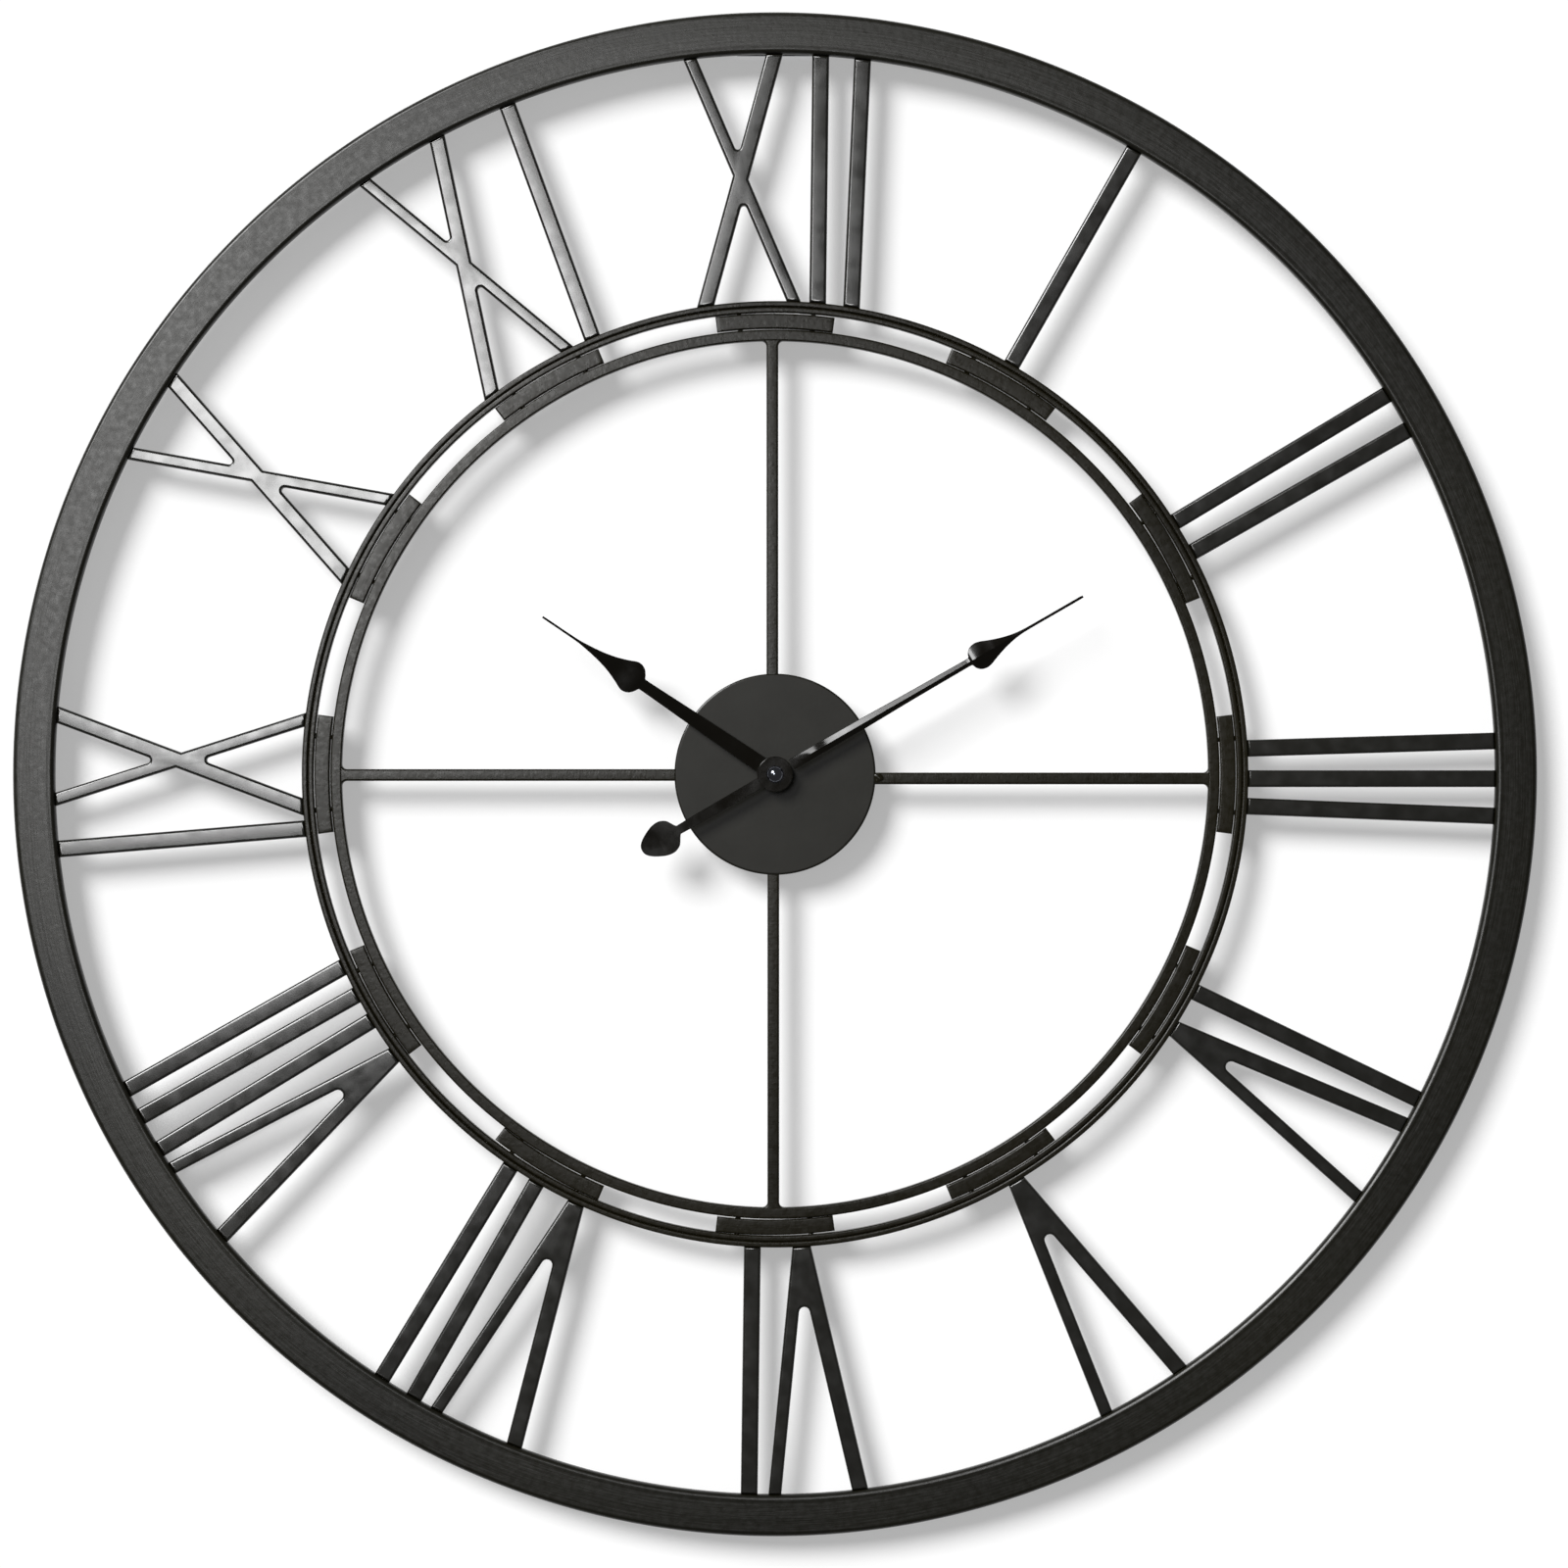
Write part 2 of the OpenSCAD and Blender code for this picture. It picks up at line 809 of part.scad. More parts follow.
module minute_tube() {
  color("#c9a558")
    difference() {
      union() {
        disc(plate_f + plate_t + 0.1, 0.9, 2);
        arbor(10.5, tube_end, [0, 0], minute_tube_r);
        plate(11.8, 1.8)
          gear(12, 0.3, motion_a);
      }
      disc(plate_f, tube_end, arbor_r + run_gap);
    }
}

module minute_wheel() {
  color("#e8e4d0")
    difference() {
      plate(12.2, 0.8)
        translate(minute_p)
          gear(36, 0.3, motion_a + 180 + 5);
      disc(11, 4, 0.6 + run_gap, minute_p);
    }
  color("#e8e4d0")
    difference() {
      plate(12.9, 2.6)
        translate(minute_p)
          gear(10, 0.288, motion_a + 180);
      disc(11, 6, 0.6 + run_gap, minute_p);
    }
}

module hour_wheel() {
  color("#e8e4d0")
    difference() {
      union() {
        plate(14, 0.8)
          gear(40, 0.288, motion_a + 4.5);
        arbor(14, hour_pipe_end, [0, 0], hour_pipe_r);
      }
      disc(13, hour_pipe_end, minute_tube_r + run_gap);
    }
}

module setting_knob() {
  color("#e8e4d0") {
    plate(0.4, 1.4)
      translate(knob_p)
        difference() {
          circle(r = 5);
          for (k = [0 : 23])
            rotate(15 * k)
              translate([5.2, 0])
                circle(r = 0.45);
        }
    arbor(1.7, 12.1, knob_p, 1);
    plate(12, 1.4)
      translate(knob_p)
        gear(12, 0.3, motion_a + 180);
    arbor(12, in_front - 0.6, knob_p, 0.6);
  }
}

// ---------------------------------------------------------------- hands

// smooth curve through a list of points, value between point i and i + 1
function curve(p, i, t) =
  let (n = len(p) - 1,
       a = p[max(i - 1, 0)], b = p[i], c = p[min(i + 1, n)], d = p[min(i + 2, n)])
  0.5 * ((2 * b) + (c - a) * t + (2 * a - 5 * b + 4 * c - d) * t * t
         + (3 * b - a - 3 * c + d) * t * t * t);

// closed outline of a blade that points along +Z
module blade(p) {
  steps = 3;
  edge = concat([for (i = [0 : len(p) - 2]) for (k = [0 : steps - 1]) curve(p, i, k / steps)],
                [p[len(p) - 1]]);
  n = len(edge);
  polygon(concat([for (i = [0 : n - 1]) [edge[i][1], edge[i][0]]],
                 [for (i = [n - 1 : -1 : 0]) [-edge[i][1], edge[i][0]]]));
}

module hour_hand() {
  color("#1a1814")
    difference() {
      union() {
        plate(hour_f, hand_t)
          rotate(-hour_deg) {
            circle(r = hand_boss_r);
            blade(hour_out);
          }
        disc(hour_f - 1.2, 1.3, hour_pipe_r + 1.4);
      }
      disc(hour_f - 2, 4, hour_pipe_r);
    }
}

module minute_hand() {
  color("#1a1814")
    difference() {
      union() {
        plate(minute_f, hand_t)
          rotate(-minute_deg) {
            circle(r = hand_boss_r);
            blade(minute_out);
            rotate(180)
              blade(tail_out);
          }
        disc(minute_f - 0.8, 0.9, minute_tube_r + 1.6);
      }
      disc(minute_f - 2, 4, minute_tube_r);
    }
}

module hand_cap_nut() {
  rim_r = 4.5;
  rim_t = 1.1;
  dome_r = 5;
  color("#b9bbbf")
    difference() {
      turned() {
        translate([0, cap_f])
          square([rim_r, rim_t]);
        difference() {
          translate([0, cap_f - 1.4])
            circle(r = dome_r);
          translate([-10, cap_f - 10])
            square([20, 10 + rim_t]);
          translate([-10, cap_f])
            square([10, 10]);
        }
      }
      disc(cap_f - 1, tube_end - cap_f + 1.2, minute_tube_r);
    }
}

outer_ring();
chapter_ring_outer();
chapter_ring_middle();
chapter_ring_inner();
hour_block_01();
hour_block_02();
hour_block_03();
hour_block_04();
hour_block_05();
hour_block_06();
hour_block_07();
hour_block_08();
hour_block_09();
hour_block_10();
hour_block_11();
hour_block_12();
numeral_01();
numeral_02();
numeral_03();
numeral_04();
numeral_05();
numeral_06();
numeral_07();
numeral_08();
numeral_09();
numeral_10();
numeral_11();
numeral_12();
spoke_top();
spoke_right();
spoke_bottom();
spoke_left();
hub_disc();
rubber_bumpers();
hanger_bracket();
movement_front_case();
movement_rear_cover();
middle_plate();
threaded_bush();
bush_nut();
rubber_gasket();
battery();
battery_contacts();
stator();
coil_bobbin();
coil_winding();
circuit_board();
quartz_crystal();
rotor();
intermediate_wheel();
seconds_wheel();
third_wheel();
centre_wheel();
minute_tube();
minute_wheel();
hour_wheel();
setting_knob();
hour_hand();
minute_hand();
hand_cap_nut();
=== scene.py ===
"""Skeleton wall clock: Roman numerals in an open metal frame, spade hands, battery movement.

Lengths are in millimetres until a mesh is made. X is right, Z is up, and f is the depth
forward from the wall, so a point (x, f, z) is at (x, -f, z) / 1000 in the shared frame.
"""

import math

import bmesh
import bpy
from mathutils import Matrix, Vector, geometry
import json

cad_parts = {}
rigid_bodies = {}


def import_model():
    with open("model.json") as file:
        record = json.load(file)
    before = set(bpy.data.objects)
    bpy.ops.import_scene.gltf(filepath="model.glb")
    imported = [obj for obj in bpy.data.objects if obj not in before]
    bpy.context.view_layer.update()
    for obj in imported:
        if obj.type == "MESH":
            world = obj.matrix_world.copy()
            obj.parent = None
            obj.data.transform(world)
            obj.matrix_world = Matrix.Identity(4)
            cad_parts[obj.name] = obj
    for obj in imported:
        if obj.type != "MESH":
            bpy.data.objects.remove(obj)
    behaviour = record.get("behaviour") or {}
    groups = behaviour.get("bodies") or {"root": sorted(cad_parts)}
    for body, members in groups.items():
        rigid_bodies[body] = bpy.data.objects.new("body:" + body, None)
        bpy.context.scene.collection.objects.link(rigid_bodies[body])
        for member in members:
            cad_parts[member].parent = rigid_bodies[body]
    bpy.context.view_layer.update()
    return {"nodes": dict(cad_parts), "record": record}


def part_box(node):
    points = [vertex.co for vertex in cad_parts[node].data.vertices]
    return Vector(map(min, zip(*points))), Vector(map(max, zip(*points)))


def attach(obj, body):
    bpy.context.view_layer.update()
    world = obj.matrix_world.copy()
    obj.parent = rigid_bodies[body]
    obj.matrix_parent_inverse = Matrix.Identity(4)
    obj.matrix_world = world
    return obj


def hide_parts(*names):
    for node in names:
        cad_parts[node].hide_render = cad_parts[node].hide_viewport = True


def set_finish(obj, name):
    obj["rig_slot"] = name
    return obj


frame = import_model()

MM = 0.001
TAU = 2 * math.pi
nodes = frame["nodes"]


# ------------------------------------------------------------------ sizes from the CAD

def limits(node):
    """Radius reached along X, back depth and front depth of a CAD node, in mm."""
    low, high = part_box(node)
    return high.x / MM, -high.y / MM, -low.y / MM


RING_R, RING_BACK, RING_FRONT = limits("outer_ring")
RING_W = 22
RING_EDGE = 2.8
CHAPTER_R, BACK, FACE = limits("chapter_ring_outer")
THIN_W = 3.05
SEAM = 0.1
RING_IN = RING_R - RING_W
RING_B = limits("chapter_ring_middle")[0]
RING_C = limits("chapter_ring_inner")[0]
INNER_W = 6
BLOCK_GAP = 0.4
BLOCK_W = 8
BLOCK_DEG = 14.9
BLOCK_OUT = RING_B - THIN_W - BLOCK_GAP
BLOCK_IN = BLOCK_OUT - BLOCK_W
HUB_R, HUB_BACK, HUB_FRONT = limits("hub_disc")
HUB_EDGE = 1.3
STROKE_EDGE = 1.5
BAR_W = 8.9
THICK_W = 8.5
THIN_ARM_W = 6.8
SPOKE_W = 6.2
SPOKE_CORNER = 2.6
MINUTE_DEG = 60
HOUR_DEG = 304.1
BOSS_R = 9.3
BOSS_RISE = 0.12                 # how far the boss stands proud of the blade
HAND_T = 0.8
MINUTE_BORE = 1.4
MINUTE_PIPE_R = 3.0
MINUTE_PIPE = 0.8                # length of the pipe behind the boss
HOUR_BORE = 2.5
HOUR_PIPE_R = 3.9
HOUR_PIPE = 1.2
PIPE_LAP = 0.1                   # how far a pipe reaches into its boss


# ------------------------------------------------------------------ mesh helpers

def polar(r, clock_deg):
    """Point at a clock angle, clockwise from twelve."""
    a = math.radians(clock_deg)
    return (r * math.sin(a), r * math.cos(a))


def place(x, f, z):
    return Vector((x, -f, z)) * MM


def turned_by(points, clock_deg):
    """2-D points turned clockwise about the shaft."""
    c, s = math.cos(math.radians(clock_deg)), math.sin(math.radians(clock_deg))
    return [(x * c + z * s, z * c - x * s) for x, z in points]


def add_object(name, bm, node_names, slot, body="frame", sharp_deg=30):
    """Finishes a mesh: merged, normals outward, smooth with sharp creases, riding on its body."""
    bmesh.ops.remove_doubles(bm, verts=bm.verts, dist=1e-6)
    bmesh.ops.recalc_face_normals(bm, faces=bm.faces)
    mesh = bpy.data.meshes.new(name)
    bm.to_mesh(mesh)
    bm.free()
    mesh.shade_smooth()
    mesh.set_sharp_from_angle(angle=math.radians(sharp_deg))
    obj = bpy.data.objects.new(name, mesh)
    bpy.context.scene.collection.objects.link(obj)
    weighted = obj.modifiers.new("weighted normals", "WEIGHTED_NORMAL")
    weighted.keep_sharp = True
    weighted.weight = 100
    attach(obj, body)
    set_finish(obj, slot)
    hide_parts(*node_names)
    return obj


def inset(points, d):
    """Anticlockwise outline moved inward by d, corners mitred."""
    n = len(points)
    out = []
    for i in range(n):
        p, q, r = (Vector(points[k % n]) for k in (i - 1, i, i + 1))
        a, b = (q - p).normalized(), (r - q).normalized()
        na, nb = Vector((-a.y, a.x)), Vector((-b.y, b.x))
        m = na + nb
        k = max(m.length_squared / 2, 0.35)
        out.append(tuple(q + m * (d / k)))
    return out


def area(points):
    return sum(a[0] * b[1] - b[0] * a[1] for a, b in zip(points, points[1:] + points[:1])) / 2


def slab_into(bm, outline, f_back, f_front, edge, depth=None, steps=5, back_edge=0.4):
    """Plate with an elliptical rounding on its front edge: inset `edge`, depth `depth`."""
    depth = edge if depth is None else depth
    if area(outline) < 0:
        outline = outline[::-1]
    loops = [(inset(outline, back_edge), f_back), (outline, f_back + back_edge)]
    for i in range(steps + 1):
        t = math.pi / 2 * i / steps
        loops.append((inset(outline, edge * (1 - math.cos(t))),
                      f_front - depth + depth * math.sin(t)))
    rings = [[bm.verts.new(place(x, f, z)) for x, z in pts] for pts, f in loops]
    n = len(outline)
    for a, b in zip(rings, rings[1:]):
        for i in range(n):
            bm.faces.new((a[i], a[(i + 1) % n], b[(i + 1) % n], b[i]))
    cap(bm, rings[-1], loops[-1][0])
    cap(bm, rings[0], loops[0][0])


def cap(bm, ring, points):
    """Fills a flat outline, which may have notches, with triangles."""
    border = [list(range(len(points)))]
    made = geometry.delaunay_2d_cdt([Vector(p) for p in points], [], border, 1, 1e-5)
    for face in made[2]:
        bm.faces.new([ring[made[3][i][0]] for i in face])


def lathe_into(bm, profile, count=360, closed=True):
    """Turns a profile of (radius, depth) about the shaft; radius 0 closes on the axis."""
    columns = []
    for r, f in profile:
        if r == 0:
            columns.append([bm.verts.new(place(0, f, 0))] * count)
        else:
            columns.append([bm.verts.new(place(r * math.sin(TAU * k / count), f,
                                               r * math.cos(TAU * k / count))) for k in range(count)])
    pairs = list(zip(columns, columns[1:])) + ([(columns[-1], columns[0])] if closed else [])
    for a, b in pairs:
        for k in range(count):
            corners = [a[k], a[(k + 1) % count], b[(k + 1) % count], b[k]]
            unique = list(dict.fromkeys(corners))
            if len(unique) > 2:
                bm.faces.new(unique)


def soft_profile(r_in, r_out, f_back, f_front, edge, back_edge=None, steps=6):
    """Rectangle in radius and depth with rounded corners."""
    back_edge = edge if back_edge is None else back_edge
    corners = [(r_in, f_back, back_edge, 180), (r_out, f_back, back_edge, 270),
               (r_out, f_front, edge, 0), (r_in, f_front, edge, 90)]
    out = []
    for r, f, q, start in corners:
        cr = r + q if r == r_in else r - q
        cf = f + q if f == f_back else f - q
        for i in range(steps + 1):
            a = math.radians(start + 90 * i / steps)
            out.append((cr + q * math.cos(a), cf + q * math.sin(a)))
    return out


def bead_into(bm, x, f, z, size, seed, flatten=0.55):
    """Small uneven weld bead."""
    made = bmesh.ops.create_icosphere(bm, subdivisions=3, radius=1)["verts"]
    for v in made:
        n = v.co.copy()
        wobble = (1 + 0.16 * math.sin(3 * n.x + seed) * math.sin(4 * n.z + 2 * seed)
                  + 0.1 * math.sin(5 * n.y + seed))
        v.co = Vector((n.x * size[0] * wobble, n.y * size[1] * flatten * wobble,
                       n.z * size[2] * wobble))
        v.co = v.co * MM + place(x, f, z)


# ------------------------------------------------------------------ outlines

def cut_at(line, r):
    """Point of the slanted line u = a + b * z on the circle of radius r, above the shaft."""
    a, b = line
    k = 1 + b * b
    z = (-a * b + math.sqrt(a * a * b * b - k * (a * a - r * r))) / k
    return (a + b * z, z)


def edges_of(stroke, width):
    """Left and right border lines (a, b) of a stroke (offset at the ring, at the chapter ring)."""
    span = RING_IN - CHAPTER_R
    slope = (stroke[0] - stroke[1]) / span
    reach = width / 2 * math.sqrt(1 + slope * slope)
    middle = stroke[1] - slope * CHAPTER_R
    return (middle - reach, slope), (middle + reach, slope)


def meet(p, q):
    z = (q[0] - p[0]) / (p[1] - q[1])
    return (p[0] + p[1] * z, z)


def arc_between(p, q, count=6):
    """Points strictly between p and q, on the circle about the shaft that both lie on."""
    a, b = (math.degrees(math.atan2(v[0], v[1])) for v in (p, q))
    r = math.hypot(*p)
    return [polar(r, a + (b - a) * i / count) for i in range(1, count)]


def fillet(p, q, r, radius, count=6):
    """Arc that rounds the corner q between p and r."""
    p, q, r = Vector(p), Vector(q), Vector(r)
    a, b = (p - q).normalized(), (r - q).normalized()
    half = a.angle(b) / 2
    t = radius / math.tan(half)
    centre = q + (a + b).normalized() * (radius / math.sin(half))
    start, end = q + a * t - centre, q + b * t - centre
    turn = math.atan2(start.x * end.y - start.y * end.x, start.dot(end))
    out = []
    for i in range(count + 1):
        w = turn * i / count
        c, s = math.cos(w), math.sin(w)
        out.append(tuple(centre + Vector((start.x * c - start.y * s, start.x * s + start.y * c))))
    return out


END_GAP = 0.05                   # strokes stop this far from the rings


def bar_outline(stroke):
    left, right = edges_of(stroke, BAR_W)
    low, high = CHAPTER_R + END_GAP, RING_IN - END_GAP
    return [cut_at(left, low), cut_at(right, low), cut_at(right, high), cut_at(left, high)]


def v_outline(thick, thin, corner=2.8):
    left, notch_left = edges_of(thick, THICK_W)
    notch_right, right = edges_of(thin, THIN_ARM_W)
    low, high = CHAPTER_R + END_GAP, RING_IN - END_GAP
    a, b = cut_at(left, low), cut_at(right, low)
    c, d = cut_at(right, high), cut_at(notch_right, high)
    e, g = cut_at(notch_left, high), cut_at(left, high)
    notch = meet(notch_left, notch_right)
    return [a, b, c, d, *fillet(d, notch, e, corner), e, g]


def x_outline(thick, thin, corner=1.6):
    """The thin arm is on the left at the ring, the thick arm is on the left at the chapter ring."""
    thin_left, thin_right = edges_of(thin, THIN_ARM_W)
    thick_left, thick_right = edges_of(thick, THICK_W)
    low, high = CHAPTER_R + END_GAP, RING_IN - END_GAP
    a, b = cut_at(thick_left, low), cut_at(thick_right, low)
    c, d = cut_at(thin_left, low), cut_at(thin_right, low)
    e, g = cut_at(thick_right, high), cut_at(thick_left, high)
    h, i = cut_at(thin_right, high), cut_at(thin_left, high)
    return [a, b, *fillet(b, meet(thick_right, thin_left), c, corner), c, d,
            meet(thin_right, thick_right), e, g, *fillet(g, meet(thick_left, thin_right), h, corner),
            h, i, meet(thin_left, thick_left)]


# strokes of each numeral, in mm clockwise of its hour line: (at the outer ring, at the
# chapter ring)
BARS = {1: [(-0.7, 0.1)], 2: [(-12, -9.8), (9.5, 8.5)], 3: [(-17.5, -13.6), (2.3, 2.3), (21.9, 16.8)],
        4: [(-21, -11.3)], 6: [(13.6, 11.9)], 7: [(0.7, 1.3), (20.2, 17.4)],
        8: [(-8.8, -6.1), (10.8, 9.5), (26.9, 25.7)], 9: [(-39.4, -28.7)], 11: [(54.5, 31.8)],
        12: [(24, 22.4), (46.1, 40.3)]}
THICK = {4: (-5.7, 10.7), 5: (-27.9, -3.3), 6: (-45.3, -14.6), 7: (-58.9, -22.7), 8: (-66.3, -28.4),
         9: (31.8, -16.9), 10: (21.3, -22.4), 11: (13.3, -28.8), 12: (-0.3, -35.7)}
THIN = {4: (39.4, 12.1), 5: (17.2, -1.7), 6: (0.1, -12.5), 7: (-13, -20.9), 8: (-20.7, -26.5),
        9: (-13.3, 28.1), 10: (-23.6, 23.3), 11: (-31.5, 16.7), 12: (-45.8, 9.7)}
# small tilt of each hour block, in degrees
TILT = {1: -0.2, 2: 0.55, 3: 0.1, 6: -0.45, 7: 0.45, 8: 0.2, 10: 0.1, 12: 0.3}


# ------------------------------------------------------------------ frame

def make_rings():
    bm = bmesh.new()
    profile = soft_profile(RING_IN, RING_R, RING_BACK, RING_FRONT, RING_EDGE)
    # the front sags a little beside its rounded edges
    crease = [(RING_R - RING_EDGE - 0.9, RING_FRONT - 0.07), (RING_R - 8, RING_FRONT),
              (RING_IN + 10, RING_FRONT), (RING_IN + RING_EDGE + 2, RING_FRONT - 0.13),
              (RING_IN + RING_EDGE + 0.9, RING_FRONT - 0.12)]
    face = max(i for i, (r, _) in enumerate(profile) if r > (RING_IN + RING_R) / 2) + 1
    lathe_into(bm, profile[:face] + crease + profile[face:], count=720)
    add_object("ring_tube", bm, ["outer_ring"], "ring_coat")
    for name, node, r, w, q in (("chapter_wire_outer", "chapter_ring_outer", CHAPTER_R, THIN_W, 0.9),
                                ("chapter_wire_middle", "chapter_ring_middle", RING_B, THIN_W, 0.9),
                                ("chapter_band", "chapter_ring_inner", RING_C, INNER_W, 1)):
        bm = bmesh.new()
        lathe_into(bm, soft_profile(r - w, r, BACK, FACE, q, 0.3, steps=4), count=540)
        if node == "chapter_ring_middle":
            for k in range(8):
                a = 45 * k - 7
                x, z = polar(RING_B + SEAM / 2, a)
                bead_into(bm, x, FACE - 1.6, z, (1.0, 1.6, 1.0), k)
        add_object(name, bm, [node], "frame_coat")


def make_numerals():
    for h in range(1, 13):
        bm = bmesh.new()
        outlines = [bar_outline(s) for s in BARS.get(h, [])]
        if h >= 9:
            outlines.append(x_outline(THICK[h], THIN[h]))
        elif h >= 4:
            outlines.append(v_outline(THICK[h], THIN[h]))
        for outline in outlines:
            slab_into(bm, turned_by(outline, 30 * h), BACK, FACE, STROKE_EDGE)
        add_object(f"numeral_strokes_{h:02d}", bm, [f"numeral_{h:02d}"], "numeral_coat")


def make_blocks():
    for h in range(1, 13):
        bm = bmesh.new()
        half = BLOCK_DEG / 2
        count = 24
        outer = [polar(BLOCK_OUT, -half + BLOCK_DEG * i / count) for i in range(count + 1)]
        inner = [polar(BLOCK_IN, half - BLOCK_DEG * i / count) for i in range(count + 1)]
        middle = (BLOCK_OUT + BLOCK_IN) / 2
        about_middle = turned_by([(x, z - middle) for x, z in outer + inner], TILT.get(h, 0))
        tilted = [(x, z + middle) for x, z in about_middle]
        slab_into(bm, turned_by(tilted, 30 * h), BACK, FACE - 0.2, 0.9, steps=3)
        welds = ((-0.3, BLOCK_OUT), (0.32, BLOCK_OUT), (-0.3, BLOCK_IN), (0.32, BLOCK_IN))
        for i, (a, r) in enumerate(welds):
            weld_r = r + (BLOCK_GAP / 2 if r == BLOCK_OUT else -BLOCK_GAP / 2)
            x, z = polar(weld_r, 30 * h + a * BLOCK_DEG)
            bead_into(bm, x, BACK + 2.2, z, (1.3, 3.2, 1.3), h + i)
        add_object(f"hour_mark_{h:02d}", bm, [f"hour_block_{h:02d}"], "frame_coat")


def spoke_outline(offset):
    """Bar from the hub disc to the inner chapter ring, with rounded corners at the ring."""
    r_in, r_out = HUB_R - 0.9, RING_C - INNER_W
    left, right = offset - SPOKE_W / 2, offset + SPOKE_W / 2
    q = SPOKE_CORNER
    a, b = cut_at((left, 0), r_in), cut_at((right, 0), r_in)
    flare_r = cut_at((right + q, 0), r_out)
    flare_l = cut_at((left - q, 0), r_out)
    corner_r, corner_l = (right, flare_r[1]), (left, flare_l[1])
    right_side = fillet((right, 0), corner_r, (right + 2 * q, corner_r[1]), q)
    left_side = fillet((left - 2 * q, corner_l[1]), corner_l, (left, 0), q)
    side, over = 1.6, 3          # how far the end reaches along and into the ring
    far_r, far_l = flare_r[0] + side, flare_l[0] - side
    return [a, b, *right_side, (far_r, flare_r[1]), (far_r, flare_r[1] + over),
            (far_l, flare_l[1] + over), (far_l, flare_l[1]), *left_side]


def make_spokes():
    spokes = (("top", 0, -1.4), ("right", 90, 2.2), ("bottom", 180, 0.9), ("left", 270, -0.4))
    for name, angle, offset in spokes:
        bm = bmesh.new()
        slab_into(bm, turned_by(spoke_outline(offset), angle), BACK, FACE - 0.4, 1.1, steps=4)
        if name == "right":              # the weld that shows beside the hub disc
            bead_into(bm, HUB_R + 1.4, FACE - 0.7, -offset + 0.5, (2.6, 2.2, 2.4), 3)
        add_object(f"spoke_bar_{name}", bm, [f"spoke_{name}"], "frame_coat")


def make_hub():
    hole = 4.1
    bm = bmesh.new()
    profile = [(hole, HUB_BACK), (HUB_R - 0.3, HUB_BACK), (HUB_R, HUB_BACK + 0.3)]
    rim, slope = 0.7, 0.35           # width and slant of the bevel that catches the light
    side = HUB_EDGE - rim
    steps = 5
    for i in range(steps):
        t = math.pi / 2 * i / steps
        profile.append((HUB_R - side + side * math.cos(t),
                        HUB_FRONT - rim * slope - side + side * math.sin(t)))
    profile += [(HUB_R - side - 0.05, HUB_FRONT - rim * slope), (HUB_R - HUB_EDGE, HUB_FRONT),
                (hole, HUB_FRONT)]
    lathe_into(bm, profile, count=360)
    add_object("hub_plate", bm, ["hub_disc"], "hub_coat")


# ------------------------------------------------------------------ hands

# half width of each blade by distance from the shaft: (distance, half width)
MINUTE = [(0, 3.15), (20, 3.05), (52, 2.85), (80, 2.35), (112, 2.08), (116.4, 2.05), (118, 2.4),
          (118.9, 4.4), (121, 6.4), (124.1, 7.2), (127, 6.75), (130.5, 5.4), (134.5, 3.95), (139, 2.6),
          (144.5, 1.4), (150, 0.85), (158, 0.72), (183.9, 0.7), (184.4, 0.45)]
MINUTE_TAIL = [(0, 2.95), (20, 2.9), (45, 2.75), (56.6, 2.45), (58.3, 2.6), (59.6, 4.4), (61.6, 7.3),
               (64.4, 8.85), (67, 9.15), (69.8, 8.7), (72.4, 7.7), (75, 6.4), (77.2, 5), (78.9, 3.5),
               (79.9, 1.9), (80.2, 0.5)]
HOUR = [(0, 4.4), (20, 4.25), (50, 3.7), (77, 3.1), (83, 3.05), (84.2, 3.3), (85.2, 5), (87, 7.2),
        (89.2, 8.35), (91.2, 8.65), (93.2, 8.2), (95.8, 7), (98.4, 5.95), (103, 4.3), (108.2, 2.95),
        (113.3, 2), (118.4, 1.3), (124, 0.72), (132, 0.6), (145.8, 0.55), (146.2, 0.35)]


def catmull(p, i, t):
    """Point a share t of the way from p[i] to p[i + 1] on a smooth curve through p."""
    a, b, c, d = (p[min(max(i + k, 0), len(p) - 1)] for k in (-1, 0, 1, 2))
    return tuple(0.5 * (2 * b[k] + (c[k] - a[k]) * t + (2 * a[k] - 5 * b[k] + 4 * c[k] - d[k]) * t * t
                        + (3 * b[k] - a[k] - 3 * c[k] + d[k]) * t ** 3) for k in (0, 1))


def blade_into(bm, table, angle, f_back, crease, crease_max, ramp=8, start=6.0, steps=5):
    """Blade pointing along a clock angle with a roof crease along its middle.

    crease is the slope of each half, crease_max the most that the crease stands up, and ramp the
    length over which it grows beside the boss."""
    stations = [catmull(table, i, k / steps) for i in range(len(table) - 1) for k in range(steps)]
    stations = [s for s in stations + [table[-1]] if s[0] >= start]
    lip = 0.25
    rows = []
    for z, w in stations:
        lift = min(max((z - BOSS_R) / ramp, 0), 1)
        rise = min(w * crease, crease_max) * lift * lift * (3 - 2 * lift)
        k = min(lip, 0.45 * w)
        f_front = f_back + HAND_T
        section = [(-w, f_back), (-w, f_front - k), (-w + k, f_front), (0, f_front + rise),
                   (w - k, f_front), (w, f_front - k), (w, f_back)]
        rows.append([bm.verts.new(place(*turned_point(x, z, angle, f))) for x, f in section])
    for a, b in zip(rows, rows[1:]):
        for i in range(len(a)):
            j = (i + 1) % len(a)
            bm.faces.new((a[i], a[j], b[j], b[i]))
    bm.faces.new(rows[0])
    bm.faces.new(rows[-1][::-1])


def turned_point(x, z, angle, f):
    (px, pz), = turned_by([(x, z)], angle)
    return px, f, pz


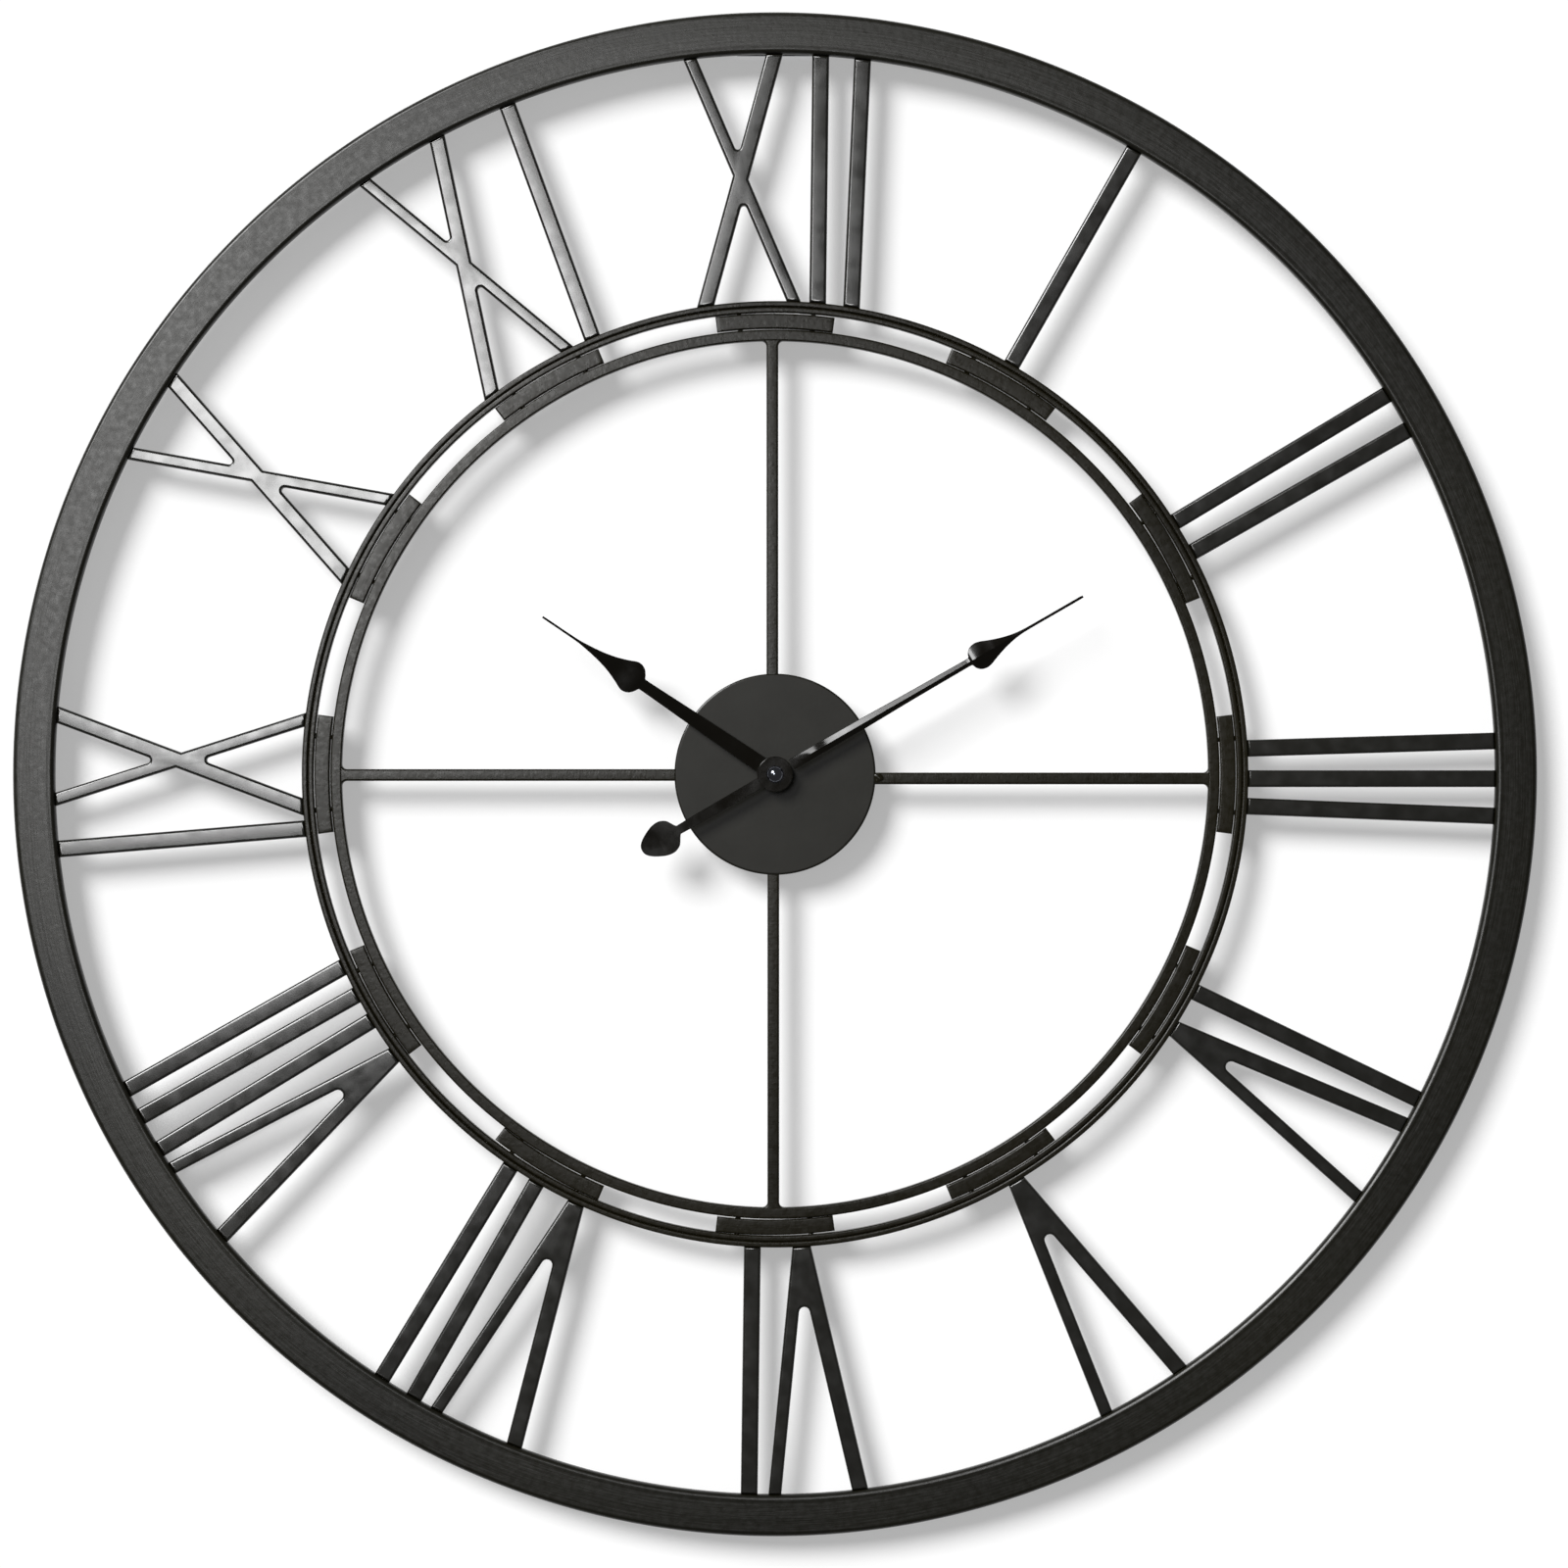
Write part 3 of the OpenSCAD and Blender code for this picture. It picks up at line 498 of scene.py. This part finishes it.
def boss_profile(f_back, f_front, bore):
    """Round boss of a hand, slightly domed, with a soft rim."""
    q = 0.35
    out = [(bore, f_back), (BOSS_R, f_back), (BOSS_R, f_front - q)]
    for i in range(1, 4):
        t = math.pi / 2 * i / 3
        out.append((BOSS_R - q + q * math.cos(t), f_front - q + q * math.sin(t)))
    out.append((bore, f_front))
    return out


def pipe_profile(f_back, bore, radius, length):
    """Short pipe behind the boss of a hand."""
    rear, front = f_back - length, f_back + PIPE_LAP
    return [(bore, rear), (radius, rear), (radius, front), (bore, front)]


def joined(name, parts, node_names, slot, body):
    """Unites closed shells into one skin."""
    made = []
    for bm in parts:
        bmesh.ops.remove_doubles(bm, verts=bm.verts, dist=1e-7)
        bmesh.ops.recalc_face_normals(bm, faces=bm.faces)
        mesh = bpy.data.meshes.new(name)
        bm.to_mesh(mesh)
        bm.free()
        obj = bpy.data.objects.new(name + "_part", mesh)
        bpy.context.scene.collection.objects.link(obj)
        made.append(obj)
    base = made[0]
    for other in made[1:]:
        union = base.modifiers.new("union", "BOOLEAN")
        union.operation = "UNION"
        union.solver = "EXACT"
        union.object = other
    bpy.context.view_layer.update()
    evaluated = base.evaluated_get(bpy.context.evaluated_depsgraph_get())
    out = bmesh.new()
    out.from_mesh(evaluated.to_mesh())
    for obj in made:
        bpy.data.objects.remove(obj)
    return add_object(name, out, node_names, slot, body, sharp_deg=12)


def make_hands():
    minute_back = limits("minute_hand")[2] - HAND_T
    hour_back = limits("hour_hand")[2] - HAND_T
    parts = [bmesh.new() for _ in range(4)]
    lathe_into(parts[0], boss_profile(minute_back, minute_back + HAND_T + BOSS_RISE, MINUTE_BORE), count=96)
    blade_into(parts[1], MINUTE, MINUTE_DEG, minute_back, 0.35, 1.6, ramp=34)
    blade_into(parts[2], MINUTE_TAIL, MINUTE_DEG + 180, minute_back, 0.0, 0.0)
    lathe_into(parts[3], pipe_profile(minute_back, MINUTE_BORE, MINUTE_PIPE_R, MINUTE_PIPE), count=48)
    joined("minute_pointer", parts, ["minute_hand"], "hand_gloss", "minute_train")
    parts = [bmesh.new() for _ in range(3)]
    lathe_into(parts[0], boss_profile(hour_back, hour_back + HAND_T + BOSS_RISE, HOUR_BORE), count=96)
    blade_into(parts[1], HOUR, HOUR_DEG, hour_back, 0.2, 0.9)
    lathe_into(parts[2], pipe_profile(hour_back, HOUR_BORE, HOUR_PIPE_R, HOUR_PIPE), count=48)
    joined("hour_pointer", parts, ["hour_hand"], "hand_gloss", "hour_train")


def make_cap_nut():
    """Closed nut with a soft rim and a dome."""
    back = limits("hand_cap_nut")[1]
    rim_r, rim_t, dome, drop = 4.5, 1.1, 5.0, 1.4
    profile = [(0, back), (rim_r - 0.2, back), (rim_r, back + 0.2), (rim_r, back + rim_t - 0.25),
               (rim_r - 0.08, back + rim_t - 0.08), (rim_r - 0.25, back + rim_t)]
    start = math.acos((rim_t + drop + 0.02) / dome)
    steps = 12
    for i in range(steps + 1):
        a = start * (1 - i / steps)
        profile.append((dome * math.sin(a), back - drop + dome * math.cos(a)))
    profile[-1] = (0, profile[-1][1])
    bm = bmesh.new()
    lathe_into(bm, profile, count=64, closed=False)
    add_object("cap_nut_dome", bm, ["hand_cap_nut"], "chrome_cap", "minute_train", sharp_deg=40)


# ------------------------------------------------------------------ materials

class Graph:
    """Short calls for building a node material."""

    def __init__(self, name):
        self.material = bpy.data.materials.new(name)
        self.material.use_nodes = True
        self.tree = self.material.node_tree
        self.shader = self.tree.nodes["Principled BSDF"]
        self.coords = self.tree.nodes.new("ShaderNodeTexCoord").outputs["Object"]

    def set(self, **values):
        for key, value in values.items():
            self.shader.inputs[key.replace("_", " ")].default_value = value

    def link(self, output, socket):
        self.tree.links.new(output, self.shader.inputs[socket])

    def noise(self, scale, detail=2, rough=0.5, vector=None):
        node = self.tree.nodes.new("ShaderNodeTexNoise")
        node.inputs["Scale"].default_value = scale
        node.inputs["Detail"].default_value = detail
        node.inputs["Roughness"].default_value = rough
        self.tree.links.new(vector or self.coords, node.inputs["Vector"])
        return node.outputs["Fac"]

    def streaks(self, across, along):
        """Noise drawn out round the shaft: cells per metre of radius, and cells per radian."""
        x, z, radius = self.radius()
        angle = self.math("ARCTAN2", x, z)
        together = self.tree.nodes.new("ShaderNodeCombineXYZ")
        self.tree.links.new(self.math("MULTIPLY", radius, across), together.inputs["X"])
        self.tree.links.new(self.math("MULTIPLY", angle, along), together.inputs["Y"])
        return self.noise(1, 2, vector=together.outputs["Vector"])

    def radius(self):
        """X, Z and the distance from the shaft."""
        apart = self.tree.nodes.new("ShaderNodeSeparateXYZ")
        self.tree.links.new(self.coords, apart.inputs[0])
        x, z = apart.outputs["X"], apart.outputs["Z"]
        squares = self.math("ADD", self.math("MULTIPLY", x, x), self.math("MULTIPLY", z, z))
        return x, z, self.math("SQRT", squares)

    def math(self, operation, *values):
        node = self.tree.nodes.new("ShaderNodeMath")
        node.operation = operation
        for socket, value in zip(node.inputs, values):
            if isinstance(value, (int, float)):
                socket.default_value = value
            else:
                self.tree.links.new(value, socket)
        return node.outputs["Value"]

    def ramp(self, fac, *stops):
        node = self.tree.nodes.new("ShaderNodeValToRGB")
        self.tree.links.new(fac, node.inputs["Fac"])
        while len(node.color_ramp.elements) < len(stops):
            node.color_ramp.elements.new(0.5)
        for element, (at, colour) in zip(node.color_ramp.elements, stops):
            element.position = at
            element.color = colour if len(colour) == 4 else (*colour, 1)
        return node.outputs["Color"]

    def map(self, fac, low, high, from_low=0.3, from_high=0.7):
        node = self.tree.nodes.new("ShaderNodeMapRange")
        self.tree.links.new(fac, node.inputs["Value"])
        for key, value in (("From Min", from_low), ("From Max", from_high),
                           ("To Min", low), ("To Max", high)):
            node.inputs[key].default_value = value
        return node.outputs["Result"]

    def bump(self, height, distance, strength=1.0, after=None):
        node = self.tree.nodes.new("ShaderNodeBump")
        node.inputs["Strength"].default_value = strength
        node.inputs["Distance"].default_value = distance
        self.tree.links.new(height, node.inputs["Height"])
        if after is not None:
            self.tree.links.new(after, node.inputs["Normal"])
        return node.outputs["Normal"]


def powder_coat(name, tint, specular, rough, peel, peel_size, grain=0.00001, drawn=0):
    """Black powder coat: orange peel of a given size in mm and height in metres, fine grain, dusty tint.

    drawn is the height of the faint lines that the rolling of a ring leaves along it."""
    g = Graph(name)
    g.set(Specular_IOR_Level=specular)
    wide = g.noise(6, 3)
    g.link(g.ramp(wide, (0.3, [c * 0.8 for c in tint]), (0.7, [c * 1.25 for c in tint])), "Base Color")
    g.link(g.map(g.noise(1000 / peel_size * 0.7, 2), rough - 0.04, rough + 0.05), "Roughness")
    peeled = g.bump(g.noise(1000 / peel_size, 2, 0.45), peel)
    if drawn:
        peeled = g.bump(g.streaks(900, 14), drawn, after=peeled)
    g.link(g.bump(g.noise(3200, 1), grain, after=peeled), "Normal")
    return g.material


def hub_coat():
    """Matt powder coat that handling has polished along the rim of the disc."""
    g = Graph("hub powder coat")
    g.set(Specular_IOR_Level=0.18)
    dark, pale = (0.0085, 0.008, 0.0058), (0.013, 0.0125, 0.0098)
    g.link(g.ramp(g.noise(45, 5), (0.3, dark), (0.7, pale)), "Base Color")
    polished = g.map(g.radius()[2], 0.46, 0.13, HUB_R * MM - 0.0011, HUB_R * MM - 0.0006)
    g.link(polished, "Roughness")
    g.link(g.bump(g.noise(420, 3), 0.00003), "Normal")
    return g.material


def moulded(name, colour, rough, grain=0.00002):
    g = Graph(name)
    dark, pale = [c * 0.85 for c in colour], [min(c * 1.12, 1) for c in colour]
    g.link(g.ramp(g.noise(90, 3), (0.3, dark), (0.7, pale)), "Base Color")
    g.link(g.map(g.noise(700, 2), rough - 0.07, rough + 0.07), "Roughness")
    g.link(g.bump(g.noise(2500, 2), grain), "Normal")
    return g.material


def metal(name, colour, rough, scratches=900):
    g = Graph(name)
    g.set(Metallic=1.0)
    dark, pale = [c * 0.85 for c in colour], [min(c * 1.1, 1) for c in colour]
    g.link(g.ramp(g.noise(120, 3), (0.3, dark), (0.7, pale)), "Base Color")
    g.link(g.map(g.noise(scratches, 4), rough - 0.08, rough + 0.1), "Roughness")
    g.link(g.bump(g.noise(scratches * 2, 2), 0.000008), "Normal")
    return g.material


def make_materials():
    return {
        "ring_coat": powder_coat("ring powder coat", (0.0035, 0.0031, 0.0008), specular=0.34, rough=0.32,
                                 peel=0.00004, peel_size=2.6, drawn=0.00007),
        "frame_coat": powder_coat("frame powder coat", (0.0055, 0.0044, 0.0012), specular=0.22, rough=0.28,
                                  peel=0.00006, peel_size=2.2, drawn=0.00004),
        "numeral_coat": powder_coat("numeral powder coat", (0.0024, 0.0021, 0.0006), specular=0.72,
                                    rough=0.21, peel=0.000006, peel_size=7, grain=0.0000005),
        "hub_coat": hub_coat(),
        "rubber": moulded("rubber", (0.02, 0.02, 0.021), 0.75),
        "case_plastic": moulded("case plastic", (0.018, 0.018, 0.02), 0.5, 0.00004),
        "plate_plastic": moulded("plate plastic", (0.7, 0.67, 0.58), 0.45),
        "gear_plastic": moulded("gear plastic", (0.78, 0.74, 0.6), 0.32, 0.00001),
        "magnet": moulded("magnet", (0.09, 0.09, 0.1), 0.55),
        "board": moulded("circuit board", (0.02, 0.13, 0.05), 0.35),
        "brass": metal("brass", (0.72, 0.5, 0.2), 0.25),
        "bright_steel": metal("bright steel", (0.6, 0.61, 0.63), 0.25),
        "zinc": metal("zinc plate", (0.52, 0.54, 0.57), 0.35, 300),
        "copper": metal("enamelled copper", (0.6, 0.22, 0.08), 0.3, 2500),
        "battery_sleeve": metal("battery sleeve", (0.22, 0.24, 0.28), 0.3),
        "chrome_cap": metal("dark chrome", (0.1, 0.105, 0.12), 0.12),
        "hand_gloss": powder_coat("hand enamel", (0.0016, 0.0011, 0.0002), specular=0.26, rough=0.13,
                                  peel=0.0000005, peel_size=6, grain=0.0000001),
    }


def paint(materials):
    slots = {s["node"]: s["material_slot"] for s in frame["record"]["subparts"]}
    for name, node in nodes.items():
        node.data.materials.clear()
        node.data.materials.append(materials[slots[name]])
    for obj in bpy.data.objects:
        if obj.type == "MESH" and "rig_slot" in obj:
            obj.data.materials.append(materials[obj["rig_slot"]])


# ------------------------------------------------------------------ stage, lights, camera

WALL_GLOW = 0.36                 # a lit studio wall keeps its shadows soft and even


def make_wall():
    """Pale wall just behind the clock, clear from behind so that the back can be seen."""
    bm = bmesh.new()
    bmesh.ops.create_grid(bm, x_segments=1, y_segments=1, size=4)
    mesh = bpy.data.meshes.new("wall")
    bm.to_mesh(mesh)
    bm.free()
    wall = bpy.data.objects.new("wall", mesh)
    bpy.context.scene.collection.objects.link(wall)
    wall.rotation_euler = (math.pi / 2, 0, 0)
    wall.location = (0, 0.0005, 0)
    material = bpy.data.materials.new("wall paint")
    material.use_nodes = True
    tree = material.node_tree
    shader = tree.nodes["Principled BSDF"]
    shader.inputs["Base Color"].default_value = (0.6, 0.6, 0.6, 1)
    shader.inputs["Roughness"].default_value = 0.9
    shader.inputs["Specular IOR Level"].default_value = 0.1
    shader.inputs["Emission Color"].default_value = (1, 1, 1, 1)
    shader.inputs["Emission Strength"].default_value = WALL_GLOW
    clear = tree.nodes.new("ShaderNodeBsdfTransparent")
    mix = tree.nodes.new("ShaderNodeMixShader")
    side = tree.nodes.new("ShaderNodeNewGeometry")
    tree.links.new(side.outputs["Backfacing"], mix.inputs["Fac"])
    tree.links.new(shader.outputs["BSDF"], mix.inputs[1])
    tree.links.new(clear.outputs["BSDF"], mix.inputs[2])
    tree.links.new(mix.outputs["Shader"], tree.nodes["Material Output"].inputs["Surface"])
    mesh.materials.append(material)


def disk_light(name, direction, distance, diameter, power):
    """Round lamp that points at the middle of the clock."""
    data = bpy.data.lights.new(name, "AREA")
    data.shape = "DISK"
    data.size = diameter
    data.energy = power
    light = bpy.data.objects.new(name, data)
    bpy.context.scene.collection.objects.link(light)
    light.location = Vector(direction).normalized() * distance
    light.rotation_euler = (-light.location).to_track_quat("-Z", "Y").to_euler()
    return light


KEY_STRENGTH = 4.0
KEY_DIRECTION = (0.62, 1, -0.615)    # shadows fall to the lower right
KEY_SPREAD = 25                      # degrees
GLINT_POWER = 30
GLINT_DIRECTION = (-0.2, -1, 0.138)
GLINT_DISTANCE = 3.0
GLINT_SIZE = 0.86
AMBIENT = 0.17
BACKDROP = 0.8


def make_lights():
    sun = bpy.data.lights.new("key", "SUN")
    sun.angle = math.radians(KEY_SPREAD)
    sun.energy = KEY_STRENGTH
    key = bpy.data.objects.new("key", sun)
    key.rotation_euler = Vector(KEY_DIRECTION).to_track_quat("-Z", "Y").to_euler()
    bpy.context.scene.collection.objects.link(key)
    glint = disk_light("glint", GLINT_DIRECTION, GLINT_DISTANCE, GLINT_SIZE, GLINT_POWER)
    glint.visible_diffuse = False        # only the gloss of the strokes shows it
    world = bpy.data.worlds.new("studio")
    bpy.context.scene.world = world
    world.use_nodes = True
    tree = world.node_tree
    background = tree.nodes["Background"]
    background.inputs["Color"].default_value = (1, 1, 1, 1)
    seen = tree.nodes.new("ShaderNodeMapRange")      # pale to look at, dimmer as a light
    seen.inputs["To Min"].default_value = AMBIENT
    seen.inputs["To Max"].default_value = BACKDROP
    tree.links.new(tree.nodes.new("ShaderNodeLightPath").outputs["Is Camera Ray"], seen.inputs["Value"])
    tree.links.new(seen.outputs["Result"], background.inputs["Strength"])


CAMERA_Y = -2.7
SENSOR = 36                      # mm
VIEW_WIDTH = 0.8226              # of the wall clock's plane, seen edge to edge


def make_camera():
    data = bpy.data.cameras.new("camera")
    data.sensor_width = SENSOR
    data.lens = SENSOR * (-CAMERA_Y - FACE * MM) / VIEW_WIDTH
    camera = bpy.data.objects.new("camera", data)
    camera.location = (0.0047, CAMERA_Y, -0.0051)
    camera.rotation_euler = (math.pi / 2, 0, 0)
    bpy.context.scene.collection.objects.link(camera)
    bpy.context.scene.camera = camera
    bpy.context.scene.view_settings.view_transform = "Standard"


make_rings()
make_numerals()
make_blocks()
make_spokes()
make_hub()
make_hands()
make_cap_nut()
paint(make_materials())
make_wall()
make_lights()
make_camera()

import json
